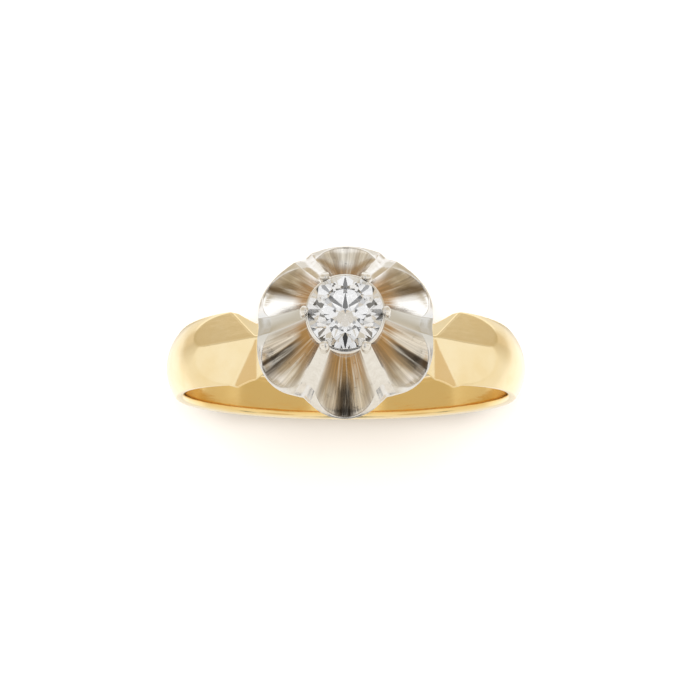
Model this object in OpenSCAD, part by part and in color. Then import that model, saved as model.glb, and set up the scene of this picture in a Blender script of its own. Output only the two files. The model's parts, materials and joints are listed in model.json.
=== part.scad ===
// Flower ring: a yellow gold shank with ridged shoulders, a white metal head with
// six scooped petals and six claws, and a round brilliant stone.
// The ring is drawn upright first: X across the finger, Y along the finger,
// Z from the finger's centre to the stone. lay_down() then lays it on its side,
// as it rests by itself on a table, on one petal and on the back of the shank.

/* [Shank] */
// Radius of the finger bore
bore_r = 8.95; // [8.6:0.05:9.2]
// Thickness of the shank at its middle
shank_wall = 1; // [0.9:0.05:1.1]
// Radius of the rounded outside across the shank
crown_r = 2.7; // [2.6:0.05:2.8]
// Half width of the shank at the height of the finger's centre
side_half_w = 1.6; // [1.5:0.05:1.65]
// Gain in half width for each millimetre towards the head
width_taper = 0.053; // [0.045:0.001:0.055]

/* [Shoulders] */
// Distance of the shoulder's ridge from the finger's axis
ridge_d = 9.75; // [9.7:0.01:9.8]
// Angle of the ridge round the finger, up from the side
ridge_angle = 50.6; // [49:0.1:52]
// Drop of the two roof faces for each millimetre away from the ridge
roof_slope = 0.333; // [0.31:0.001:0.35]
// Where the ridge ends at the head, from the middle of the ring
ridge_end_x = 4.64; // [4.5:0.01:4.8]
// Half width of the shoulder where it meets the head
neck_half_w = 1.2; // [1.1:0.05:1.35]
// Height of the neck's lower corner above the finger's centre
neck_z = 7.9; // [7.85:0.05:7.95]
// Half width of the bridge under the head
bridge_half_w = 1.45; // [1.3:0.05:1.45]

/* [Flower head] */
// Reach of a petal from the head's centre
petal_reach = 4.68; // [4.5:0.01:4.8]
// Share of the reach that is the radius of a petal's outline
petal_round = 0.557; // [0.54:0.001:0.57]
// Flattening of the flower along the finger
flower_squash = 0.963; // [0.94:0.001:1]
// Height of the rim above the finger's centre at the middle of a petal
rim_z = 9.95; // [9.85:0.05:10.1]
// How much higher the rim is at a rib
rim_wave = 0.95; // [0.6:0.05:1]
// Height of the head's flat back above the finger's centre
back_z = 9.55; // [9.5:0.01:9.6]
// Width of the polished rim at the middle of a petal
rim_w = 0.13; // [0.1:0.01:0.2]
// Gain in the rim's width at a rib, which rounds the scoop's corners
rim_flare = 0.3; // [0.1:0.01:0.4]
// How much shallower the valleys at the two sides of the flower are
side_fill = 0.15; // [0:0.01:0.16]
// How far the head's back draws in from the rim
back_inset = 0.28; // [0.2:0.01:0.35]
// Half width of a rib beside the stone
rib_half_in = 0.28; // [0.26:0.01:0.34]
// Half width of a rib at the rim
rib_half_out = 0.42; // [0.36:0.01:0.5]
// Height of a rib's top beside the stone
rib_top_z = 14.1; // [13.9:0.05:14.1]
// Height of a scoop's floor beside the stone
scoop_top_z = 12.95; // [12.8:0.05:13.2]
// Outer radius of the collet under the stone
collet_r = 1.95; // [1.93:0.01:2]

/* [Stone] */
// Diameter of the stone
stone_d = 3.64; // [3.6:0.01:3.7]
// Height of the girdle's middle above the finger's centre
girdle_z = 14.3; // [14.2:0.05:14.4]
// Width of the table as a share of the diameter
table_share = 0.57; // [0.53:0.01:0.6]
// Slope of the crown's main facets
crown_angle = 34.5; // [33:0.1:36]
// Slope of the pavilion's main facets
pavilion_angle = 40.8; // [40:0.1:42]

/* [Claws] */
// Radius of a claw's stem
claw_r = 0.2; // [0.18:0.01:0.21]
// Radius of the bead at a claw's tip
bead_r = 0.25; // [0.22:0.01:0.26]

/* [Hidden] */
GOLD = "#E8C777";
WHITE_METAL = "#D9D6D0";
DIAMOND = "#EEF4F8";
// Clear space between pieces that are set or soldered together
GAP = 0.03;
// Size of a cutting block, more than the ring is long
BIG = 40;

shank_r = bore_r + shank_wall;
palm_half_w = side_half_w - width_taper * shank_r;

// The ridge is a straight line at ridge_d from the axis, in the plane Y = 0.
ridge_out = [cos(ridge_angle), sin(ridge_angle)];
ridge_point = [ridge_end_x, 0, (ridge_d - ridge_end_x * ridge_out[0]) / ridge_out[1]];
// The shoulder is widest where its roof, its side and the rounded outside meet.
wide_angle = ridge_angle - 1;
wide_half_w = side_half_w + width_taper * (shank_r - crown_r / 4) * sin(wide_angle);
wide_r = shank_r - crown_r + sqrt(pow(crown_r, 2) - pow(wide_half_w, 2));
wide_point = [wide_r * cos(wide_angle), wide_half_w, wide_r * sin(wide_angle)];
neck_point = [ridge_end_x, neck_half_w, neck_z];
bevel_normal = cross(wide_point - ridge_point, neck_point - ridge_point);

// The flower's outline is six arcs, each of radius lobe_r about a centre lobe_d out.
PETALS = 6;
PETAL_STEP = 360 / PETALS;
lobe_r = petal_round * petal_reach;
lobe_d = petal_reach - lobe_r;
// Slices round the head, and steps down each scoop
STEPS = 96;
SCOOP_STEPS = 9;
// A scoop's section is this share of a half circle beside the stone, and at the rim
SCOOP_ARC_IN = 0.9;
SCOOP_ARC_OUT = 0.75;
// Small rounding of the rim's outer edge
rim_drop = 0.06;
rim_soft = 0.03;

// The stone's sizes, as a round brilliant is cut
STONE_TURN = 22.5;
stone_r = stone_d / 2;
girdle_half = 0.03 * stone_r;
girdle_top_z = girdle_z + girdle_half;
girdle_low_z = girdle_z - girdle_half;
table_r = table_share * stone_r / cos(STONE_TURN);
table_z = girdle_top_z + (stone_r - table_r) * tan(crown_angle);
star_r = (table_r + stone_r) / 2;
lower_r = 0.23 * stone_r;
culet_z = girdle_low_z - stone_r * tan(pavilion_angle);

// The collet's top carries the stone, and a plain pit leaves room for its point.
seat_r = stone_r - 0.08;
seat_z = girdle_low_z - (stone_r - seat_r) * tan(pavilion_angle) - GAP;
pit_r = 0.12;
pit_z = culet_z - 5 * GAP;

// A claw's stem clears the girdle, and its bead laps over the crown.
claw_foot = [collet_r + 0.32, rib_top_z - 1];
claw_top = [stone_r + claw_r + GAP, girdle_z + 0.24];
bead = [stone_r + 0.15, girdle_z + 0.3];

// At rest the ring stands on the lowest petal's rim and on the back of the shank.
tip_y = petal_reach * flower_squash;
palm_z = shank_r - crown_r + sqrt(pow(crown_r, 2) - pow(palm_half_w, 2));
rest_tilt = atan2(tip_y - palm_half_w, rim_z + palm_z);
rest_lift = palm_half_w * cos(rest_tilt) + palm_z * sin(rest_tilt);
rest_back = (shank_r - crown_r) * cos(rest_tilt) + crown_r;
rest_front = bead[1] * cos(rest_tilt) + bead[0] * sin(PETAL_STEP) * sin(rest_tilt) + bead_r;

module lay_down() {
    translate([0, (rest_front - rest_back) / 2, rest_lift])
        rotate([rest_tilt - 90, 0, 180])
            children();
}

// All that lies past a plane, given by its normal and its distance from the centre.
module beyond(normal, distance) {
    rotate([0, acos(normal[2] / norm(normal)), atan2(normal[1], normal[0])])
        translate([-BIG / 2, -BIG / 2, distance])
            cube(BIG);
}

module rounded_band() {
    rotate([90, 0, 0])
        rotate_extrude($fn = 180)
            intersection() {
                translate([bore_r, -crown_r])
                    square([shank_wall, 2 * crown_r]);
                translate([shank_r - crown_r, 0])
                    circle(r = crown_r, $fn = 90);
            }
}

// The shank is a wedge in side view: narrow at the palm and wide at the shoulders.
module side_taper() {
    reach = BIG / 2;
    low = side_half_w - width_taper * reach;
    high = side_half_w + width_taper * reach;
    rotate([90, 0, 90])
        linear_extrude(BIG, center = true)
            polygon([[-low, -reach], [low, -reach], [high, reach], [-high, reach]]);
}

module shoulder_cuts() {
    roof_normal = [ridge_out[0], roof_slope, ridge_out[1]];
    for (side = [-1, 1], edge = [-1, 1]) {
        beyond([side * roof_normal[0], edge * roof_normal[1], roof_normal[2]],
               ridge_d / norm(roof_normal));
        beyond([side * bevel_normal[0], edge * bevel_normal[1], bevel_normal[2]],
               bevel_normal * ridge_point / norm(bevel_normal));
    }
}

// Under the head the shank is a plain bridge with straight sides.
module bridge_cuts() {
    for (edge = [-1, 1])
        translate([-ridge_end_x, edge > 0 ? bridge_half_w : -bridge_half_w - BIG, neck_z + 0.1])
            cube([2 * ridge_end_x, BIG, BIG]);
    beyond([0, 0, 1], back_z - GAP);
}

module shank() {
    color(GOLD)
        lay_down()
            difference() {
                intersection() {
                    rounded_band();
                    side_taper();
                }
                shoulder_cuts();
                bridge_cuts();
            }
}

// Angle from the middle of the nearest petal, 0 to 30 degrees. Two petals point along Y.
function petal_angle(a) = abs(a % PETAL_STEP - PETAL_STEP / 2);
function outline_r(a) =
    let (p = petal_angle(a))
    lobe_d * cos(p) + sqrt(pow(lobe_r, 2) - pow(lobe_d * sin(p), 2))
        + side_fill * pow(2 * p / PETAL_STEP * cos(a), 6);
function rim_w_at(a) = rim_w + rim_flare * pow(2 * petal_angle(a) / PETAL_STEP, 3);
// The collet stays round, and the petals are flattened along the finger.
function squash(r) =
    1 + (flower_squash - 1) * max(0, min(1, (r - collet_r) / (petal_reach - collet_r)));

// A scoop runs from t = 0 beside the stone to t = 1 at the rim, and the rim rises and
// falls with it. scoop_side is 0 on the scoop's floor and 1 on the rib.
function rib_z_at(t) = rim_z + rim_wave + (rib_top_z - rim_z - rim_wave) * (1 - t);
function floor_z_at(t) = rim_z + (scoop_top_z - rim_z) * pow(1 - t, 1.3);
function scoop_side(r, t, a) =
    let (half = rib_half_in + (rib_half_out - rib_half_in) * t,
         rib_edge = PETAL_STEP / 2 - asin(half / r),
         arc = SCOOP_ARC_IN + (SCOOP_ARC_OUT - SCOOP_ARC_IN) * t,
         s = arc * min(1, petal_angle(a) / rib_edge))
    (1 - sqrt(1 - s * s)) / (1 - sqrt(1 - arc * arc));
function scoop_point(t, a) =
    let (r = collet_r + (outline_r(a) - rim_w_at(a) - collet_r) * t,
         low = floor_z_at(t))
    [r, low + (rib_z_at(t) - low) * scoop_side(r, t, a)];

// One slice of the head at angle a: out along its back, up the rim, in over the scoop,
// up the collet and down into the pit.
function head_slice(a) = let (edge_z = scoop_point(1, a)[1]) concat(
    [[outline_r(a) - back_inset, back_z],
     [outline_r(a), edge_z - rim_drop],
     [outline_r(a) - rim_soft, edge_z]],
    [for (i = [0 : SCOOP_STEPS]) scoop_point(1 - i / SCOOP_STEPS, a)],
    [[collet_r, seat_z], [seat_r, seat_z], [pit_r, pit_z]]);
function head_points(a) =
    [for (p = head_slice(a)) [p[0] * cos(a), p[0] * sin(a) * squash(p[0]), p[1]]];

module flower_body() {
    slices = [for (i = [0 : STEPS - 1]) head_points(360 * i / STEPS)];
    rows = len(slices[0]);
    back = STEPS * rows;
    pit = back + 1;
    points = concat([for (s = slices) each s], [[0, 0, back_z], [0, 0, pit_z]]);
    faces = [for (i = [0 : STEPS - 1])
        let (here = i * rows, next = ((i + 1) % STEPS) * rows)
            each concat(
                [[back, here, next], [pit, next + rows - 1, here + rows - 1]],
                [for (j = [0 : rows - 2])
                    each [[here + j, here + j + 1, next + j + 1],
                          [here + j, next + j + 1, next + j]]])];
    polyhedron(points, faces, convexity = 8);
}

module claw() {
    run = claw_top - claw_foot;
    translate([claw_foot[0], 0, claw_foot[1]])
        rotate([0, atan2(run[0], run[1]), 0])
            cylinder(r = claw_r, h = norm(run), $fn = 24);
    translate([bead[0], 0, bead[1]])
        sphere(r = bead_r, $fn = 24);
}

module flower_head() {
    color(WHITE_METAL)
        lay_down()
            union() {
                flower_body();
                for (i = [0 : PETALS - 1])
                    rotate(i * PETAL_STEP)
                        claw();
            }
}

function ring_points(count, r, z, turn = 0) =
    [for (i = [0 : count - 1]) [r * cos(360 * i / count + turn), r * sin(360 * i / count + turn), z]];

// A round brilliant: a table, 8 stars, 8 kites and 16 upper facets above the girdle,
// and 16 lower facets and 8 mains below it.
module brilliant() {
    star_z = girdle_top_z + (stone_r - star_r * cos(STONE_TURN)) * tan(crown_angle);
    lower_z = girdle_low_z - (stone_r - lower_r * cos(STONE_TURN)) * tan(pavilion_angle);
    table = 0;
    star = table + 8;
    top = star + 8;
    low = top + 16;
    lower = low + 16;
    culet = lower + 8;
    points = concat(
        ring_points(8, table_r, table_z),
        ring_points(8, star_r, star_z, STONE_TURN),
        ring_points(16, stone_r, girdle_top_z),
        ring_points(16, stone_r, girdle_low_z),
        ring_points(8, lower_r, lower_z, STONE_TURN),
        [[0, 0, culet_z]]);
    sectors = [for (i = [0 : 7])
        let (n = (i + 1) % 8, b = (i + 7) % 8, even = 2 * i, odd = 2 * i + 1, last = (2 * i + 2) % 16)
            each [[table + i, table + n, star + i],
                  [table + i, star + i, top + even, star + b],
                  [star + i, top + odd, top + even],
                  [star + i, top + last, top + odd],
                  [low + even, low + odd, lower + i],
                  [low + odd, low + last, lower + i],
                  [low + even, lower + i, culet, lower + b]]];
    girdle = [for (i = [0 : 15]) let (n = (i + 1) % 16) [top + i, top + n, low + n, low + i]];
    polyhedron(points, concat([[for (i = [7 : -1 : 0]) table + i]], sectors, girdle), convexity = 4);
}

module stone() {
    color(DIAMOND)
        lay_down()
            brilliant();
}

shank();
flower_head();
stone();
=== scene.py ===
"""Flower ring: a yellow gold shank, a white metal flower head and a round brilliant.

Shapes are worked out upright and in millimetres, X across the finger, Y along it and
Z from the finger's centre to the stone, and then laid on the floor as the ring lies.
"""

import json
import math

import bmesh
import bpy
import numpy as np
from mathutils import Matrix, Vector


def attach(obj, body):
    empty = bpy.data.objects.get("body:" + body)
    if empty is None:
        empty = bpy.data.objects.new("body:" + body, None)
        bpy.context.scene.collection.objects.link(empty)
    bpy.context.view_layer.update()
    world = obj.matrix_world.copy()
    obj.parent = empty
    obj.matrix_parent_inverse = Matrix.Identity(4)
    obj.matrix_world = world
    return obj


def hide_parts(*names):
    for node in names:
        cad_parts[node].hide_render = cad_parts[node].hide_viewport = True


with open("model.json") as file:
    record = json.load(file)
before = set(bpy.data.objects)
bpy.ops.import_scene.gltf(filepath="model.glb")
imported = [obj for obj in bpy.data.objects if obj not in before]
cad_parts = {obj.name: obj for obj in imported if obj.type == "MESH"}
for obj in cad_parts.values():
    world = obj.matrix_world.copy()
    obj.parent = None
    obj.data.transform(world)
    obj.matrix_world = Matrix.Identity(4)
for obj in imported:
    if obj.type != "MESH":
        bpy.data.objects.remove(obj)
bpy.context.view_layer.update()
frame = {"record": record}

# The ring's place, from its finger bore
bore = frame["record"]["mounts"][0]
CENTRE = Vector(bore["pos_m"])
FINGER = -Vector(bore["axis"]).normalized()
ACROSS = Vector((-1, 0, 0))
RISE = ACROSS.cross(FINGER)
MM = 0.001
TURN = Matrix((ACROSS, FINGER, RISE)).transposed()
LAY = Matrix.Translation(CENTRE) @ TURN.to_4x4() @ Matrix.Scale(MM, 4)

# Shank, in millimetres
BORE_R = bore["dims"]["r_mm"]
SHANK_R = BORE_R + 1.0
CROWN_R = 2.7
SIDE_HALF_W = 1.6
WIDTH_TAPER = 0.053
RIDGE_D = 9.75
RIDGE_ANGLE = math.radians(50.6)
ROOF_SLOPE = 0.333
RIDGE_END_X = 4.64
NECK_HALF_W = 1.2
NECK_Z = 7.9
BRIDGE_HALF_W = 1.45
BRIDGE_TOP_Z = 9.52
EDGE_SOFT = 0.05
BORE_EASE = 0.2
BORE_EASE_W = 0.42

# How far the necks and shoulders are set over, as shares of the width, how fast the necks'
# set runs out, and the places across the finger, in millimetres, where a set fades
NECK_SET = 0.38
SHOULDER_SET = 0.1
SET_SLOPE = 0.384
SHOULDER_FADE_X = (6.1, 8.6)
BRIDGE_FADE_X = (2.0, RIDGE_END_X - 0.1)

# Flower head, in millimetres
PETALS = 6
PETAL_TURN = math.tau / PETALS
PETAL_REACH = 4.68
LOBE_R = 0.557 * PETAL_REACH
LOBE_D = PETAL_REACH - LOBE_R
FLOWER_SQUASH = 0.963
RIM_Z = 9.95
BACK_Z = 9.55
BACK_INSET = 0.28
RIM_WAVE = 0.95
RIM_W = 0.12
RIM_FLARE = 0.85
RIM_LEAN = 0.55
SIDE_FILL = 0.15
RIB_HALF_IN = 0.28
RIB_HALF_OUT = 0.42
RIB_TOP_Z = 14.1
SCOOP_TOP_Z = 12.95
COLLET_R = 1.95
SCOOP_ARC_IN = 0.9
SCOOP_ARC_OUT = 0.75
SKIRT_BULGE = 0.05
SKIRT_DROP = 0.06
COLLET_LIP = 0.05
SEAT_LAP = 0.08
SEAT_GAP = 0.03
PIT_R = 0.12
PIT_GAP = 0.15

# How far the petals stray from each other, in height and as a share of the reach
STRAY_Z = 0.05
STRAY_Z_FINE = 0.04
STRAY_REACH = 0.01

# Stone, in millimetres
STONE_R = 1.82
GIRDLE_Z = 14.3
GIRDLE_HALF = 0.055
CROWN_SLOPE = math.tan(math.radians(34.5))
PAVILION_SLOPE = math.tan(math.radians(40.8))
TABLE_R = 0.57 * STONE_R / math.cos(math.pi / 8)

# The camera of the photograph, fitted to the shank's edges
PHOTO_SIDE = 700
CAMERA_TILT = math.radians(12)
CAMERA_FAR = 0.104
PIXELS_PER_MM = 17.9
RING_AT = (345.9, 370.4)
SENSOR = 36.0


def make_camera():
    """Looks down on the stone, a little from the side that is up, as in the photograph."""
    back = RISE * math.cos(CAMERA_TILT) - FINGER * math.sin(CAMERA_TILT)
    up = RISE * math.sin(CAMERA_TILT) + FINGER * math.cos(CAMERA_TILT)
    right = up.cross(back)
    data = bpy.data.cameras.new("camera")
    data.sensor_width = SENSOR
    data.lens = SENSOR * PIXELS_PER_MM * CAMERA_FAR / MM / PHOTO_SIDE
    data.clip_start = 0.005
    camera = bpy.data.objects.new("camera", data)
    bpy.context.scene.collection.objects.link(camera)
    off_right = (PHOTO_SIDE / 2 - RING_AT[0]) / PIXELS_PER_MM * MM
    off_up = (RING_AT[1] - PHOTO_SIDE / 2) / PIXELS_PER_MM * MM
    camera.matrix_world = Matrix((right, up, back)).transposed().to_4x4()
    camera.location = CENTRE + back * CAMERA_FAR + right * off_right + up * off_up
    bpy.context.scene.camera = camera


def linear(code):
    """Turns an sRGB hex colour into linear values."""
    values = [int(code[i:i + 2], 16) / 255 for i in (1, 3, 5)]
    return [v / 12.92 if v < 0.04045 else ((v + 0.055) / 1.055) ** 2.4 for v in values] + [1]


def scaled(power, code):
    """A colour of light at a brightness."""
    return [v * power for v in linear(code)[:3]] + [1]


def add(tree, kind, inputs=None, **settings):
    """Adds a node with its settings, and sets or links its inputs."""
    made = tree.nodes.new(kind)
    for name, value in settings.items():
        setattr(made, name, value)
    for name, value in (inputs or {}).items():
        if isinstance(value, bpy.types.NodeSocket):
            tree.links.new(value, made.inputs[name])
        else:
            made.inputs[name].default_value = value
    return made


def new_material(name):
    """An empty material with its shader and its output."""
    material = bpy.data.materials.new(name)
    material.use_nodes = True
    tree = material.node_tree
    tree.nodes.clear()
    shader = add(tree, "ShaderNodeBsdfPrincipled")
    add(tree, "ShaderNodeOutputMaterial", {"Surface": shader.outputs[0]})
    return material, tree, shader


def upright_mm(tree, scale=(1, 1, 1)):
    """The surface's place in the upright ring in millimetres, stretched by scale."""
    place = add(tree, "ShaderNodeTexCoord").outputs["Object"]
    back = TURN.transposed()
    centred = add(tree, "ShaderNodeMapping", {
        "Vector": place,
        "Location": (back @ CENTRE) * (-1 / MM),
        "Rotation": back.to_euler(),
        "Scale": (1 / MM,) * 3,
    })
    return add(tree, "ShaderNodeMapping", {"Vector": centred.outputs[0], "Scale": scale}).outputs[0]


def ramp(tree, factor, low, high, to_low=0.0, to_high=1.0):
    """Maps a value from low..high to a new range, and holds it there."""
    return add(tree, "ShaderNodeMapRange", {
        "Value": factor, "From Min": low, "From Max": high, "To Min": to_low, "To Max": to_high,
    }).outputs["Result"]


def blend(tree, factor, first, second):
    """Mixes two colours."""
    made = add(tree, "ShaderNodeMix", {"Factor": factor}, data_type="RGBA")
    for socket, value in ((made.inputs[6], first), (made.inputs[7], second)):
        if isinstance(value, bpy.types.NodeSocket):
            tree.links.new(value, socket)
        else:
            socket.default_value = value
    return made.outputs[2]


def calc(tree, kind, *values):
    """A sum or other piece of arithmetic on values and sockets."""
    return add(tree, "ShaderNodeMath", dict(enumerate(values)), operation=kind).outputs[0]


def product(tree, first, *others):
    """Masks multiplied together."""
    for other in others:
        first = calc(tree, "MULTIPLY", first, other)
    return first


def between(tree, value, low, full_low, full_high, high):
    """A mask that is full between the two middle values and gone beyond the outer two."""
    return product(tree, ramp(tree, value, low, full_low), ramp(tree, value, high, full_high))


def length(tree, first, second):
    """The distance that two sides at a right angle span."""
    both = add(tree, "ShaderNodeCombineXYZ", {"X": first, "Y": second}).outputs[0]
    return add(tree, "ShaderNodeVectorMath", {0: both}, operation="LENGTH").outputs["Value"]


def scratches(tree, stretch, seed):
    """Thin lines along one way of the ring, 1 where the line is."""
    noise = add(tree, "ShaderNodeTexNoise", {
        "Vector": upright_mm(tree, stretch), "W": seed, "Scale": 1.0, "Detail": 3.0, "Roughness": 0.6,
    }, noise_dimensions="4D")
    away = calc(tree, "ABSOLUTE", calc(tree, "SUBTRACT", noise.outputs[0], 0.5))
    return ramp(tree, away, 0.0, 0.02, 1.0, 0.0)


def polished_gold():
    """18 carat yellow gold, buffed by hand: mirror bright, softened by hairlines and by wear."""
    material, tree, shader = new_material("polished_yellow_gold")
    cloud = add(tree, "ShaderNodeTexNoise", {
        "Vector": upright_mm(tree), "Scale": 0.55, "Detail": 4.0, "Roughness": 0.55,
    }).outputs[0]
    worn = ramp(tree, cloud, 0.35, 0.7)
    outside = blend(tree, worn, linear("#FAE7BC"), linear("#F7E0AE"))
    # The finger's side is painted a deeper gold, a painted reflection of the gold that faces it
    # across the bore
    flat = add(tree, "ShaderNodeSeparateXYZ", {"Vector": upright_mm(tree)}).outputs
    off_bore = ramp(tree, length(tree, flat["X"], flat["Z"]), BORE_R + 0.02, BORE_R + 0.12)
    colour = blend(tree, off_bore, linear("#F2D08A"), outside)
    tree.links.new(colour, shader.inputs["Base Color"])
    shader.inputs["Metallic"].default_value = 1.0
    hair = scratches(tree, (0.6, 5.0, 0.6), 2.0)
    cross = scratches(tree, (4.0, 1.2, 6.0), 7.0)
    lines = calc(tree, "MAXIMUM", hair, cross)
    rough = ramp(tree, cloud, 0.3, 0.75, 0.1, 0.19)
    tree.links.new(calc(tree, "MULTIPLY_ADD", lines, 0.03, rough), shader.inputs["Roughness"])
    ripple = add(tree, "ShaderNodeTexNoise", {
        "Vector": upright_mm(tree, (0.8, 2.4, 0.8)), "Scale": 1.0, "Detail": 2.0,
    }).outputs[0]
    soft = add(tree, "ShaderNodeBump", {"Strength": 0.35, "Distance": 0.00002, "Height": ripple})
    fine = add(tree, "ShaderNodeBump", {
        "Strength": 0.12, "Distance": 0.000003, "Height": lines, "Normal": soft.outputs[0],
    })
    tree.links.new(fine.outputs[0], shader.inputs["Normal"])
    return material


def graver_strokes(tree, along, across, flat):
    """Swaying, broad and fine strokes down a scoop, other ones on each petal."""
    turn = calc(tree, "ARCTAN2", flat["Y"], flat["X"])
    petal = calc(tree, "FLOOR", calc(tree, "DIVIDE", turn, PETAL_TURN))
    shift = calc(tree, "MULTIPLY", petal, 7.3)
    strokes = []
    for wide, long, detail in ((1.6, 0.5, 2.0), (5.0, 0.6, 3.0), (16.0, 1.1, 3.0)):
        at = add(tree, "ShaderNodeCombineXYZ", {
            "X": calc(tree, "MULTIPLY", across, wide),
            "Y": calc(tree, "MULTIPLY", along, long),
            "Z": shift,
        }).outputs[0]
        strokes.append(add(tree, "ShaderNodeTexNoise", {
            "Vector": at, "Scale": 1.0, "Detail": detail, "Roughness": 0.6,
        }).outputs[0])
    return strokes


def lit_lower_petals(tree, bands, lower, above, along):
    """The lower side petals catch the light above their middle, lose it there, and catch it again."""
    caught, again, lost = [
        product(tree, between(tree, above, *span), lower, ramp(tree, along, *start))
        for span, start in (
            ((0.42, 0.52, 0.72, 0.88), (0.12, 0.3)),
            ((-0.65, -0.5, -0.35, -0.2), (0.6, 0.85)),
            ((-0.12, 0.1, 0.36, 0.48), (0.1, 0.4)),
        )
    ]
    bands = blend(tree, calc(tree, "MAXIMUM", caught, again), bands, linear("#F0E6D8"))
    return blend(tree, lost, bands, linear("#564D43"))


def cut_white_metal():
    """Platinum, cut with a round graver: each stroke runs down the scoop from the stone to the
    rim, the recesses are painted brown, partly stain and partly painted shade, and the ribs and the
    rim between them are buffed white."""
    material, tree, shader = new_material("bright_cut_white_metal")
    along = add(tree, "ShaderNodeAttribute", attribute_name="along").outputs["Fac"]
    across = add(tree, "ShaderNodeAttribute", attribute_name="across").outputs["Fac"]
    scoop = add(tree, "ShaderNodeAttribute", attribute_name="scoop").outputs["Fac"]
    place = upright_mm(tree)
    flat = add(tree, "ShaderNodeSeparateXYZ", {"Vector": place}).outputs
    sway, broad, fine = graver_strokes(tree, along, across, flat)
    dirt = add(tree, "ShaderNodeTexNoise", {
        "Vector": place, "Scale": 2.4, "Detail": 6.0, "Roughness": 0.7,
    }).outputs[0]
    # The walls are painted brown beside the stone, partly stain and partly painted shade in the
    # recess, grey further out and pale at the rim
    wall = blend(tree, ramp(tree, along, 0.15, 0.7), linear("#B48B54"), linear("#B3A288"))
    wall = blend(tree, ramp(tree, along, 0.75, 1.0), wall, linear("#D6CEC2"))
    # The middle of a scoop is painted dark on the bottom petal and bright on the top one, a painted
    # reflection of what each petal faces
    stray = calc(tree, "MULTIPLY", calc(tree, "SUBTRACT", sway, 0.5), 0.6)
    aside = calc(tree, "ABSOLUTE", calc(tree, "ADD", stray, across))
    floor = blend(tree, ramp(tree, flat["Y"], -0.6, 1.6), linear("#5F564A"), linear("#87765F"))
    floor = blend(tree, ramp(tree, flat["Y"], 2.2, 3.2), floor, linear("#F8F4EC"))
    from_stone = length(tree, flat["X"], flat["Y"])
    sideways = calc(tree, "DIVIDE", calc(tree, "ABSOLUTE", flat["X"]), from_stone)
    # A place across a lower side petal, from -1 at its lower rib to 1 at its upper one
    above = calc(tree, "SIGN", calc(tree, "SUBTRACT", sideways, math.cos(PETAL_TURN / 2)))
    above = calc(tree, "MULTIPLY_ADD", above, calc(tree, "ABSOLUTE", across), stray)
    lower = product(tree, ramp(tree, flat["Y"], -0.3, -0.8), ramp(tree, sideways, 0.5, 0.56))
    painted_wedge_mask = product(tree, ramp(tree, aside, 0.36, 0.14), ramp(tree, along, 0.3, 0.55),
                   calc(tree, "SUBTRACT", 1.0, lower))
    # A painted highlight: a pale streak halfway across each wall, standing for a reflection
    off_middle = calc(tree, "ABSOLUTE", calc(tree, "SUBTRACT", aside, 0.5))
    painted_streak = product(tree, ramp(tree, off_middle, 0.2, 0.05), ramp(tree, along, 0.4, 0.65))
    bands = blend(tree, painted_streak, wall, linear("#DCD0BC"))
    bands = blend(tree, painted_wedge_mask, bands, floor)
    bands = lit_lower_petals(tree, bands, lower, above, along)
    # The upper side petals are painted nearly white on the half beside the side rib, a painted
    # highlight
    beside = product(tree, ramp(tree, sideways, 0.87, 0.93), ramp(tree, flat["Y"], 0.1, 0.5),
                     ramp(tree, along, 0.15, 0.35))
    # Painted reflections of the cuts: bright and dark strokes that follow the same noise as the cut
    # bumps
    painted_dark_strokes = blend(tree, ramp(tree, broad, 0.5, 0.3, 0.0, 0.5), bands, linear("#6B5B46"))
    painted_bright_strokes = blend(tree, ramp(tree, broad, 0.52, 0.68, 0.0, 0.7), painted_dark_strokes, linear("#EFE9DE"))
    inside = blend(tree, ramp(tree, fine, 0.62, 0.4, 0.0, 0.22), painted_bright_strokes, linear("#5A4A37"))
    inside = blend(tree, ramp(tree, dirt, 0.6, 0.7, 0.0, 0.5), inside, linear("#4A4034"))
    # Painted highlight on the upper side petals
    inside = blend(tree, calc(tree, "MULTIPLY", beside, 0.9), inside, linear("#FFFEFB"))
    buffed = blend(tree, ramp(tree, dirt, 0.35, 0.7), linear("#F1EEE9"), linear("#E5E0D9"))
    # The two side ribs are painted a little greyer, a painted shade
    buffed = blend(tree, ramp(tree, sideways, 0.975, 0.99), buffed, linear("#DEDDDA"))
    tree.links.new(blend(tree, scoop, buffed, inside), shader.inputs["Base Color"])
    shader.inputs["Metallic"].default_value = 1.0
    cut = ramp(tree, broad, 0.3, 0.7, 0.07, 0.18)
    rough = add(tree, "ShaderNodeMix", {2: 0.14, 3: cut, "Factor": scoop}).outputs[0]
    tree.links.new(rough, shader.inputs["Roughness"])
    height = calc(tree, "MULTIPLY", calc(tree, "ADD", fine, broad), scoop)
    cuts = add(tree, "ShaderNodeBump", {"Strength": 0.4, "Distance": 0.00004, "Height": height})
    pits = add(tree, "ShaderNodeBump", {
        "Strength": 0.3, "Distance": 0.00002, "Height": dirt, "Normal": cuts.outputs[0],
    })
    tree.links.new(pits.outputs[0], shader.inputs["Normal"])
    return material


def polished_white_metal():
    """The same platinum on the claws, where it is filed round and buffed."""
    material, tree, shader = new_material("buffed_white_metal")
    cloud = add(tree, "ShaderNodeTexNoise", {
        "Vector": upright_mm(tree), "Scale": 3.0, "Detail": 4.0, "Roughness": 0.6,
    }).outputs[0]
    colour = blend(tree, ramp(tree, cloud, 0.3, 0.7), linear("#F4F1EC"), linear("#E4DFD6"))
    tree.links.new(colour, shader.inputs["Base Color"])
    shader.inputs["Metallic"].default_value = 1.0
    tree.links.new(ramp(tree, cloud, 0.3, 0.7, 0.24, 0.34), shader.inputs["Roughness"])
    bump = add(tree, "ShaderNodeBump", {"Strength": 0.3, "Distance": 0.00002, "Height": cloud})
    tree.links.new(bump.outputs[0], shader.inputs["Normal"])
    return material


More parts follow.
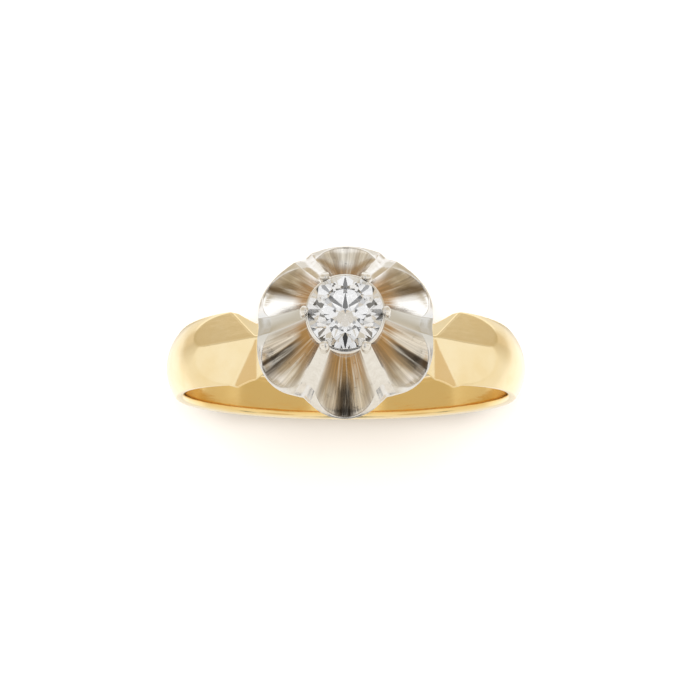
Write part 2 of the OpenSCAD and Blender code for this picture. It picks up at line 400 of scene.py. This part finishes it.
def diamond():
    """Cut diamond: clear, with the high index that makes its facets flash."""
    material, _, shader = new_material("cut_diamond")
    shader.inputs["Base Color"].default_value = linear("#FFFFFF")
    shader.inputs["Roughness"].default_value = 0.0
    shader.inputs["IOR"].default_value = 2.417
    shader.inputs["Transmission Weight"].default_value = 1.0
    return material


def mesh_object(name, points, faces, material, attributes=None, laid=True):
    """A smooth mesh from upright points in millimetres, at its place in the frame."""
    mesh = bpy.data.meshes.new(name)
    mesh.from_pydata([tuple(p) for p in points], [], faces)
    for label, values in (attributes or {}).items():
        layer = mesh.attributes.new(label, "FLOAT", "POINT")
        layer.data.foreach_set("value", np.asarray(values, np.float32))
    mesh.transform(LAY if laid else Matrix.Scale(MM, 4))
    mesh.materials.append(material)
    mesh.polygons.foreach_set("use_smooth", [True] * len(mesh.polygons))
    mesh.update()
    made = bpy.data.objects.new(name, mesh)
    bpy.context.scene.collection.objects.link(made)
    return made


def soft_min(first, second, width):
    """The lower of two heights, with the crease between them rounded over width."""
    overlap = np.maximum(width - np.abs(first - second), 0)
    return np.minimum(first, second) - overlap ** 2 / (4 * width)


def bevel_plane():
    """The plane that narrows the shoulder towards the head, as its normal and distance."""
    wide_angle = RIDGE_ANGLE - math.radians(1)
    half_w = SIDE_HALF_W + WIDTH_TAPER * (SHANK_R - CROWN_R / 4) * math.sin(wide_angle)
    wide_r = SHANK_R - CROWN_R + math.sqrt(CROWN_R ** 2 - half_w ** 2)
    wide = Vector((wide_r * math.cos(wide_angle), half_w, wide_r * math.sin(wide_angle)))
    end_z = (RIDGE_D - RIDGE_END_X * math.cos(RIDGE_ANGLE)) / math.sin(RIDGE_ANGLE)
    ridge_end = Vector((RIDGE_END_X, 0, end_z))
    neck = Vector((RIDGE_END_X, NECK_HALF_W, NECK_Z))
    normal = (wide - ridge_end).cross(neck - ridge_end)
    return normal, normal.dot(ridge_end)


def outside_r(angle, width, bevel, soft):
    """The shank's outer radius at an angle round the finger and a distance from its middle."""
    across, rise = abs(math.cos(angle)), math.sin(angle)
    away = np.sqrt(width ** 2 + EDGE_SOFT ** 2) - EDGE_SOFT
    outer = SHANK_R - CROWN_R + np.sqrt(np.maximum(CROWN_R ** 2 - width ** 2, 0))
    lean = math.cos(RIDGE_ANGLE) * across + math.sin(RIDGE_ANGLE) * rise
    if lean > 0.5:
        outer = soft_min(outer, (RIDGE_D - ROOF_SLOPE * away) / lean, soft)
    normal, distance = bevel
    lean = normal.x * across + normal.z * rise
    if lean > 0.5:
        outer = soft_min(outer, (distance - normal.y * away) / lean, soft)
    if rise > 0.5:
        outer = soft_min(outer, BRIDGE_TOP_Z / rise + 0 * width, soft)
    return outer


def half_width(angle, bevel):
    """How far the shank reaches along the finger, at an angle round it."""
    rise = math.sin(angle)
    half_w = SIDE_HALF_W + WIDTH_TAPER * BORE_R * rise
    if BORE_R * rise > NECK_Z + 0.1:
        half_w = min(half_w, BRIDGE_HALF_W)
    widths = np.linspace(0, half_w, 200)
    thick = outside_r(angle, widths, bevel, EDGE_SOFT) - BORE_R
    return float(widths[thick > EDGE_SOFT].max())


def shank_section(angle, bevel):
    """Half of the shank's section, from the middle of the bore round to the middle outside."""
    half_w = half_width(angle, bevel)
    rise = math.sin(angle)
    out = 1 - np.linspace(0, 1, 49) ** 1.6
    inset = EDGE_SOFT * 0.9
    widths = (half_w - inset) * out
    outer = outside_r(angle, widths, bevel, EDGE_SOFT)
    edge_r = float(outer[0])
    tall = edge_r - BORE_R
    small = min(inset, 0.4 * tall)
    taper = WIDTH_TAPER * rise
    eased = min(BORE_EASE, 0.4 * tall)
    eased_w = BORE_EASE_W * eased / BORE_EASE
    points = [(BORE_R, w * (half_w - eased_w)) for w in (0, 0.35, 0.7, 0.9, 0.97, 1.0)]
    for step in range(1, 9):
        turn = step / 8 * math.pi / 2
        points.append((BORE_R + eased * (1 - math.cos(turn)),
                       half_w - eased_w + eased_w * math.sin(turn)))
    side_top = max(edge_r - small, BORE_R + eased)
    points.append(((BORE_R + small + side_top) / 2, half_w + taper * tall / 2))
    for step in (0.0, 0.33, 0.67):
        turn = step * math.pi / 2
        points.append((side_top + (edge_r - side_top) * math.sin(turn),
                       half_w + taper * tall * (1 - step) - inset * (1 - math.cos(turn))))
    points += list(zip(outer, widths))
    return points


def set_over(x, width):
    """The shoulders are filed a little fuller on one side of their ridge than on the other."""
    roof = SHOULDER_SET * abs(width) * np.interp(abs(x), SHOULDER_FADE_X, [1, 0])
    bevel = NECK_SET * abs(width) - SET_SLOPE * max(abs(x) - RIDGE_END_X, 0)
    # The middle of the bridge isn't set over, so the set fades out towards it
    return width - max(roof, bevel) * np.interp(abs(x), BRIDGE_FADE_X, [0, 1])


def make_shank(material):
    """The closed hoop, with its ridged shoulders and the plain bridge under the head."""
    steps = 640
    bevel = bevel_plane()
    points, faces = [], []
    for i in range(steps):
        angle = 2 * math.pi * i / steps
        half = shank_section(angle, bevel)
        whole = half + [(r, -w) for r, w in half[-2:0:-1]]
        for r, w in whole:
            x, z = r * math.cos(angle), r * math.sin(angle)
            points.append((x, set_over(x, w) if z > 0 else w, z))
    rows = len(whole)
    for i in range(steps):
        here, there = i * rows, (i + 1) % steps * rows
        for j in range(rows):
            k = (j + 1) % rows
            faces.append((here + j, there + j, there + k, here + k))
    return mesh_object("shank", points, faces, material)


def from_petal(angle):
    """How far an angle is from the middle of its petal, 0 to 1. Ribs are at 0, 60 ... degrees."""
    return abs(angle % PETAL_TURN - PETAL_TURN / 2) / (PETAL_TURN / 2)


def outline_r(angle):
    """The flower's outline is six arcs, with rounder valleys between them."""
    turn = from_petal(angle) * PETAL_TURN / 2
    return (LOBE_D * math.cos(turn) + math.sqrt(LOBE_R ** 2 - (LOBE_D * math.sin(turn)) ** 2)
            + 0.02 * from_petal(angle) ** 8)


def rim_width(angle):
    """The polished rim is thin mid petal and widens into the ribs."""
    return RIM_W + RIM_FLARE * min(from_petal(angle), 0.8) ** 2.5


def rib_z(t):
    """Height of a rib, from the stone at t = 0 to the rim at t = 1."""
    low = RIM_Z + RIM_WAVE + RIM_LEAN
    return low + (RIB_TOP_Z - low) * (1 - t) ** 1.08


def floor_z(t):
    """Height of a scoop's floor, from the stone at t = 0 to the rim at t = 1."""
    return RIM_Z + (SCOOP_TOP_Z - RIM_Z) * (1 - t) ** 1.3


def scoop_wall(s, t):
    """Height of a scoop's wall: 0 on its floor, s = 0, and 1 at its rib, s = 1."""
    arc = SCOOP_ARC_IN + (SCOOP_ARC_OUT - SCOOP_ARC_IN) * t
    return (1 - math.sqrt(1 - (arc * s) ** 2)) / (1 - math.sqrt(1 - arc ** 2))


def scoop_z(s, t):
    """Height of a scoop at a place across it and along it."""
    return floor_z(t) + (rib_z(t) - floor_z(t)) * scoop_wall(abs(s), t)


def scoop_r(t, angle):
    """Distance from the stone's middle, at a place along a scoop."""
    return COLLET_R + (outline_r(angle) - rim_width(angle) - COLLET_R) * t


def rib_edge(t):
    """The angle at which the rib beside a scoop ends."""
    half = RIB_HALF_IN + (RIB_HALF_OUT - RIB_HALF_IN) * t
    edge = 0.14
    for _ in range(4):
        edge = math.asin(half / scoop_r(t, edge))
    return edge


def petal_columns(t):
    """Angles over one petal from rib to rib, each with its place s across the scoop."""
    edge = rib_edge(t)
    span = PETAL_TURN - 2 * edge
    rib = [(edge * x, 1.0) for x in (0, 0.4, 0.75, 0.93)]
    scoop = []
    for i in range(41):
        u = 0.5 - 0.5 * math.cos(math.pi * i / 40)
        scoop.append((edge + span * u, 2 * u - 1))
    return rib + scoop + [(PETAL_TURN - a, s) for a, s in reversed(rib)]


def petal_rows():
    """Rows of one petal: a name for its kind, and a number that places it."""
    rows = [("back", x) for x in (0.0, 0.5, 1.0)]
    rows += [("skirt", x) for x in (0.12, 0.5, 0.9)]
    rows += [("rim", x) for x in (0.0, 0.12, 0.3, 0.5, 0.7, 0.88, 1.0)]
    steps = 44
    rows += [("scoop", 1 - 0.004 - (i / steps) ** 1.2 * 0.994) for i in range(steps + 1)]
    rows += [("collet", x) for x in (0.1, 0.5, 0.9, 1.0)]
    rows += [("seat", x) for x in (0.02, 0.06, 0.15, 0.4, 1.0)]
    return rows


def along_scoop(kind, x):
    """A row's place along the scoop, 0 at the stone and 1 at the rim."""
    return x if kind == "scoop" else (0.0 if kind in ("collet", "seat") else 1.0)


def petal_point(kind, x, column):
    """One point of a petal: its radius, its angle, its height, and 1 if it lies in the scoop."""
    angle, s = petal_columns(along_scoop(kind, x))[column]
    edge = outline_r(angle)
    inner_rim = scoop_z(s, 1.0)
    rim = RIM_Z + (inner_rim - RIM_Z) * RIM_WAVE / (RIM_WAVE + RIM_LEAN)
    if kind == "back":
        return (edge - BACK_INSET) * x, angle, BACK_Z, 0
    if kind == "skirt":
        bulge = SKIRT_BULGE * math.sin(math.pi * x)
        return edge - BACK_INSET * (1 - x) + bulge, angle, BACK_Z + (rim - SKIRT_DROP - BACK_Z) * x, 0
    if kind == "rim":
        wide = rim_width(angle)
        round_off = 0.05
        if x <= 0.3:
            turn = x / 0.3 * math.pi / 2
            ahead, drop = round_off * (1 - math.cos(turn)), round_off * (1 - math.sin(turn))
            return edge - ahead, angle, rim - drop, 0
        if x < 0.7:
            return edge - wide / 2, angle, (rim + inner_rim) / 2 + 0.01, 0
        turn = (x - 0.7) / 0.3 * math.pi / 2
        soft = 0.035
        ahead = soft * (1 - math.sin(turn))
        drop = soft * (1 - math.cos(turn)) * (1 - abs(s) ** 4) + ahead * (inner_rim - rim) / wide
        return edge - wide + ahead, angle, inner_rim - drop, 0
    if kind == "scoop":
        return scoop_r(x, angle), angle, scoop_z(s, x), 1
    seat_r = STONE_R - SEAT_LAP
    seat_z = GIRDLE_Z - GIRDLE_HALF - (STONE_R - seat_r) * PAVILION_SLOPE - SEAT_GAP
    if kind == "collet":
        foot = scoop_z(s, 0.0)
        lip = COLLET_LIP * max(0.0, (x - 0.9) / 0.1)
        return COLLET_R - lip, angle, foot + (seat_z - 0.04 + 0.8 * lip - foot) * min(x / 0.9, 1), 0
    lip_r = COLLET_R - COLLET_LIP
    pit_z = GIRDLE_Z - GIRDLE_HALF - STONE_R * PAVILION_SLOPE - PIT_GAP
    if x < 0.1:
        return lip_r - (lip_r - seat_r) * (x - 0.02) / 0.04, angle, seat_z, 0
    down = (x - 0.1) / 0.9
    return seat_r + (PIT_R - seat_r) * down, angle, seat_z + (pit_z - seat_z) * down, 0


def ring_tree(name):
    """Repeats a mesh round Z, joins the copies where they meet and gives them their material."""
    tree = bpy.data.node_groups.new(name, "GeometryNodeTree")
    tree.interface.new_socket("Geometry", in_out="INPUT", socket_type="NodeSocketGeometry")
    count = tree.interface.new_socket("Count", in_out="INPUT", socket_type="NodeSocketInt")
    join = tree.interface.new_socket("Join within", in_out="INPUT", socket_type="NodeSocketFloat")
    finish = tree.interface.new_socket("Material", in_out="INPUT", socket_type="NodeSocketMaterial")
    tree.interface.new_socket("Geometry", in_out="OUTPUT", socket_type="NodeSocketGeometry")
    given = add(tree, "NodeGroupInput").outputs
    step = calc(tree, "DIVIDE", math.tau, given["Count"])
    angle = calc(tree, "MULTIPLY", add(tree, "GeometryNodeInputIndex").outputs[0], step)
    turn = add(tree, "ShaderNodeCombineXYZ", {"Z": angle}).outputs[0]
    spots = add(tree, "GeometryNodePoints", {"Count": given["Count"]}).outputs[0]
    copies = add(tree, "GeometryNodeInstanceOnPoints", {
        "Points": spots, "Instance": given["Geometry"], "Rotation": turn,
    }).outputs[0]
    real = add(tree, "GeometryNodeRealizeInstances", {"Geometry": copies}).outputs[0]
    whole = add(tree, "GeometryNodeMergeByDistance", {
        "Geometry": real, "Distance": given["Join within"],
    }).outputs[0]
    painted = add(tree, "GeometryNodeSetMaterial", {
        "Geometry": whole, "Material": given["Material"],
    }).outputs[0]
    add(tree, "NodeGroupOutput", {"Geometry": painted})
    return tree, {"count": count.identifier, "join": join.identifier, "material": finish.identifier}


def settle(piece, modifier):
    """Makes a modifier's result the piece's own mesh."""
    graph = bpy.context.evaluated_depsgraph_get()
    mesh = bpy.data.meshes.new_from_object(piece.evaluated_get(graph), depsgraph=graph)
    piece.modifiers.remove(modifier)
    piece.data = mesh


def repeat_round(piece, count, join, material):
    """Turns one petal or claw into the whole ring of them, as a plain mesh."""
    tree, sockets = ring_tree("ring_of_" + piece.name)
    modifier = piece.modifiers.new("ring", "NODES")
    modifier.node_group = tree
    modifier[sockets["count"]] = count
    modifier[sockets["join"]] = join
    modifier[sockets["material"]] = material
    settle(piece, modifier)
    piece.data.polygons.foreach_set("use_smooth", [True] * len(piece.data.polygons))


def move_points(piece, change):
    """Moves each point of an upright mesh, by its place in millimetres, and lays it down."""
    for vertex in piece.data.vertices:
        x, y, z = vertex.co / MM
        vertex.co = LAY @ Vector(change(x, y, z))
    piece.data.update()


def hand_made(x, y, z):
    """Flattens the flower along the finger, fills its side valleys, and strays as a hand does."""
    r = math.hypot(x, y)
    outward = max(0.0, min(1.0, (r - COLLET_R) / (PETAL_REACH - COLLET_R)))
    angle = math.atan2(y, x)
    fill = SIDE_FILL * (from_petal(angle) * math.cos(angle)) ** 6
    stray = STRAY_Z * math.sin(3 * angle + 1.1) + STRAY_Z_FINE * math.sin(5 * angle + 0.4)
    grow = 1 + STRAY_REACH * outward * math.sin(2 * angle + 0.7) + fill * outward / max(r, 1.0)
    squash = 1 + (FLOWER_SQUASH - 1) * outward
    return (x * grow, y * grow * squash, z + stray * outward * (1 - outward))


def make_petals(material):
    """The six scooped petals with their ribs, rim and collet, as one closed shell."""
    rows = petal_rows()
    columns = len(petal_columns(0.5))
    points, marks = [], {"along": [], "across": [], "scoop": []}
    for kind, x in rows:
        for column in range(columns):
            r, angle, z, scoop = petal_point(kind, x, column)
            points.append((r * math.cos(angle), r * math.sin(angle), z))
            side = petal_columns(x if kind == "scoop" else 1.0)[column][1]
            marks["along"].append(along_scoop(kind, x))
            marks["across"].append(side)
            marks["scoop"].append(scoop * max(0.0, 1 - abs(side) ** 12))
    faces = []
    for i in range(len(rows) - 1):
        for j in range(columns - 1):
            a, b = i * columns + j, (i + 1) * columns + j
            faces.append((a, a + 1, b + 1, b))
    last = (len(rows) - 1) * columns
    faces.append(tuple(last + j for j in range(columns)) + (len(points),))
    points.append((0, 0, petal_point("seat", 1.0, 0)[2]))
    for values in marks.values():
        values.append(0.0)
    piece = mesh_object("flower_petals", points, faces, material, marks, laid=False)
    repeat_round(piece, PETALS, 0.004 * MM, material)
    move_points(piece, hand_made)
    return piece


def make_claws(material):
    """Six claws: each rises out of its rib and ends in a bead pushed over the crown."""
    top = GIRDLE_Z + 0.3
    over = STONE_R + 0.15
    # Each row of the path: distance from the stone's middle, height and half width
    path = [
        (2.06, 13.4, 0.2),
        (2.06, 13.8, 0.22),
        (2.05, 14.15, 0.24),
        (over + 0.06, top - 0.17, 0.255),
        (over + 0.045, top - 0.02, 0.26),
        (over, top + 0.1, 0.24),
        (over - 0.07, top + 0.17, 0.2),
        (over - 0.15, top + 0.17, 0.13),
        (over - 0.2, top + 0.13, 0.05),
    ]
    around = 20
    points = []
    for i, (r, z, wide) in enumerate(path):
        before, after = path[max(i - 1, 0)], path[min(i + 1, len(path) - 1)]
        lean = math.atan2(after[0] - before[0], after[1] - before[1])
        for j in range(around):
            turn = math.tau * j / around
            out, side = 0.7 * wide * math.cos(turn), wide * math.sin(turn)
            points.append((r + out * math.cos(lean), side, z - out * math.sin(lean)))
    faces = []
    for i in range(len(path) - 1):
        for j in range(around):
            k = (j + 1) % around
            faces.append((i * around + j, i * around + k, (i + 1) * around + k, (i + 1) * around + j))
    faces.append(tuple(range(around - 1, -1, -1)))
    faces.append(tuple((len(path) - 1) * around + j for j in range(around)))
    piece = mesh_object("claws", points, faces, material, laid=False)
    smooth = piece.modifiers.new("round", "SUBSURF")
    smooth.levels = smooth.render_levels = 1
    settle(piece, smooth)
    repeat_round(piece, PETALS, 0.0, material)
    move_points(piece, lambda x, y, z: (x, y, z))
    return piece


def polar(r, turn, z):
    """A point at a distance and a turn from the stone's middle."""
    return Vector((r * math.cos(turn), r * math.sin(turn), z))


def facet_planes():
    """The planes of a round brilliant, each through three of its corners."""
    top, low = GIRDLE_Z + GIRDLE_HALF, GIRDLE_Z - GIRDLE_HALF
    table_z = top + (STONE_R - TABLE_R) * CROWN_SLOPE
    star_r = (TABLE_R + STONE_R) / 2
    star_z = top + (STONE_R - star_r * math.cos(math.pi / 8)) * CROWN_SLOPE
    lower_r = 0.23 * STONE_R
    lower_z = low - (STONE_R - lower_r * math.cos(math.pi / 8)) * PAVILION_SLOPE
    planes = [(polar(1, 0, table_z), polar(1, 2, table_z), polar(1, 4, table_z))]
    for i in range(8):
        turn, half = i * math.pi / 4, math.pi / 8
        star, star_back = polar(star_r, turn + half, star_z), polar(star_r, turn - half, star_z)
        corner, girdle = polar(TABLE_R, turn, table_z), polar(STONE_R, turn, top)
        lower, lower_back = polar(lower_r, turn + half, lower_z), polar(lower_r, turn - half, lower_z)
        under = polar(STONE_R, turn, low)
        planes.append((corner, star_back, girdle))
        planes.append((corner, polar(TABLE_R, turn + 2 * half, table_z), star))
        planes.append((under, lower, lower_back))
        for side, tip, root in ((half, star, lower), (-half, star_back, lower_back)):
            planes.append((tip, girdle, polar(STONE_R, turn + side, top)))
            planes.append((root, under, polar(STONE_R, turn + side, low)))
    return planes


def make_stone(material):
    """A round blank, ground flat on each facet's plane."""
    bm = bmesh.new()
    middle = Vector((0, 0, GIRDLE_Z))
    bmesh.ops.create_cone(bm, cap_ends=True, segments=96, radius1=STONE_R, radius2=STONE_R, depth=6,
                          matrix=Matrix.Translation(middle))
    for a, b, c in facet_planes():
        normal = (b - a).cross(c - a).normalized()
        if normal.dot(a - middle) < 0:
            normal = -normal
        geometry = bm.verts[:] + bm.edges[:] + bm.faces[:]
        cut = bmesh.ops.bisect_plane(bm, geom=geometry, dist=1e-5, plane_co=a, plane_no=normal,
                                     clear_outer=True)["geom_cut"]
        edges = [e for e in cut if isinstance(e, bmesh.types.BMEdge) and e.is_boundary]
        if len(edges) > 2:
            bmesh.ops.edgeloop_fill(bm, edges=edges)
    bmesh.ops.recalc_face_normals(bm, faces=bm.faces[:])
    mesh = bpy.data.meshes.new("brilliant")
    bm.transform(LAY)
    bm.to_mesh(mesh)
    bm.free()
    mesh.materials.append(material)
    made = bpy.data.objects.new("brilliant", mesh)
    bpy.context.scene.collection.objects.link(made)
    return made


def make_floor():
    """A plain white table top, which the bright metal doesn't pick up."""
    material, _, shader = new_material("white_table")
    shader.inputs["Base Color"].default_value = linear("#F3F2F0")
    shader.inputs["Roughness"].default_value = 0.9
    shader.inputs["Specular IOR Level"].default_value = 0.0
    bpy.ops.mesh.primitive_plane_add(size=2)
    floor = bpy.context.object
    floor.name = "floor"
    floor.visible_glossy = False
    floor.visible_transmission = False
    floor.data.materials.append(material)


def soft_sun(name, way, spread, power):
    """A far soft box, which lights the table evenly and casts a soft shadow."""
    data = bpy.data.lights.new(name, "SUN")
    data.angle = math.radians(spread)
    data.energy = power
    light = bpy.data.objects.new(name, data)
    light.visible_glossy = False
    light.visible_transmission = False
    bpy.context.scene.collection.objects.link(light)
    light.matrix_world = Vector(way).to_track_quat("Z", "Y").to_matrix().to_4x4()


# What the polished ring reflects, the same left and right: a way from the ring, the
# angles in degrees at which a panel is full and gone, and its brightness and colour
PANELS = (
    ((0.00, 0.00, 1.00), 16, 25, 0.2, "#FFFFFF"),
    ((0.00, -0.45, 0.89), 8, 14, 0.15, "#FFFFFF"),
    ((0.27, 0.12, 0.95), 9, 13, 0.95, "#FFF9EE"),
    ((0.56, 0.60, -0.57), 12, 18, 0.97, "#FFFBF2"),
    ((0.70, -0.29, 0.65), 11, 15, 0.77, "#FFECCF"),
    ((0.12, 0.20, -0.97), 10, 14, 0.86, "#FFFBF2"),
    ((0.86, 0.03, 0.51), 4, 8, 0.3, "#FFFFFF"),
    ((0.74, 0.42, -0.50), 6, 11, 0.8, "#FFF2DC"),
    ((0.62, -0.10, -0.78), 6, 10, 0.66, "#FFF2DC"),
    ((0.60, 0.27, -0.75), 8, 13, 1.15, "#FFFFFF"),
    ((0.00, 0.41, -0.91), 5, 9, 0.8, "#FFFFFF"),
    ((0.50, 0.84, -0.15), 16, 28, 1.2, "#FFFFFF"),
    ((0.95, -0.30, -0.11), 11, 14, 0.68, "#FFF6E4"),
    ((0.71, -0.71, -0.04), 16, 22, 0.68, "#FFF6E4"),
    ((0.12, 0.55, -0.83), 6, 9, 0.6, "#FFE9C4"),
    ((0.00, -0.93, 0.36), 12, 17, 0.04, "#FFFFFF"),
)


def make_light():
    """A white tent, dim and warm low down and white again underneath, with soft panels on it."""
    world = bpy.data.worlds.new("white_tent")
    bpy.context.scene.world = world
    world.use_nodes = True
    tree = world.node_tree
    tree.nodes.clear()
    way = add(tree, "ShaderNodeTexCoord").outputs["Generated"]
    part = add(tree, "ShaderNodeSeparateXYZ", {"Vector": way}).outputs
    side = calc(tree, "ABSOLUTE", part["X"])
    folded = add(tree, "ShaderNodeCombineXYZ", {"X": side, "Y": part["Y"], "Z": part["Z"]}).outputs[0]
    front = blend(tree, ramp(tree, part["Z"], -0.4, -0.1),
                  scaled(0.68, "#FFF2DC"), scaled(1.0, "#FFFFFF"))
    behind = blend(tree, ramp(tree, part["Z"], -0.5, 0.0),
                   scaled(0.6, "#FFEFCF"), scaled(0.95, "#FFFBF2"))
    seen = blend(tree, ramp(tree, part["Y"], -0.1, 0.15), front, behind)
    seen = blend(tree, ramp(tree, part["Z"], -0.64, -0.74), seen, scaled(1.15, "#FFFFFF"))
    for centre, full, gone, power, colour in PANELS:
        near = add(tree, "ShaderNodeVectorMath", {0: folded, 1: Vector(centre).normalized()},
                   operation="DOT_PRODUCT").outputs["Value"]
        inside = ramp(tree, near, math.cos(math.radians(gone)), math.cos(math.radians(full)))
        seen = blend(tree, inside, seen, scaled(power, colour))
    # The table gets a dimmer and warmer tent than the metal mirrors, so that the shadow shows
    on_table = add(tree, "ShaderNodeLightPath").outputs["Is Diffuse Ray"]
    light = blend(tree, on_table, seen, scaled(0.58, "#FFEFDA"))
    sky = add(tree, "ShaderNodeBackground", {"Color": light})
    add(tree, "ShaderNodeOutputWorld", {"Surface": sky.outputs[0]})
    soft_sun("key", (0.0, -0.97, 0.23), 20, 12.5)


make_camera()
gold = polished_gold()
cut_metal = cut_white_metal()
buffed_metal = polished_white_metal()
shank = make_shank(gold)
petals = make_petals(cut_metal)
claws = make_claws(buffed_metal)
brilliant = make_stone(diamond())
make_floor()
make_light()
bpy.context.scene.view_settings.view_transform = "Standard"

for piece, node, slot in ((shank, "shank", "yellow_gold"), (petals, "flower_head", "white_metal"),
                          (claws, "flower_head", "white_metal"), (brilliant, "stone", "diamond")):
    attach(piece, "root")
    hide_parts(node)
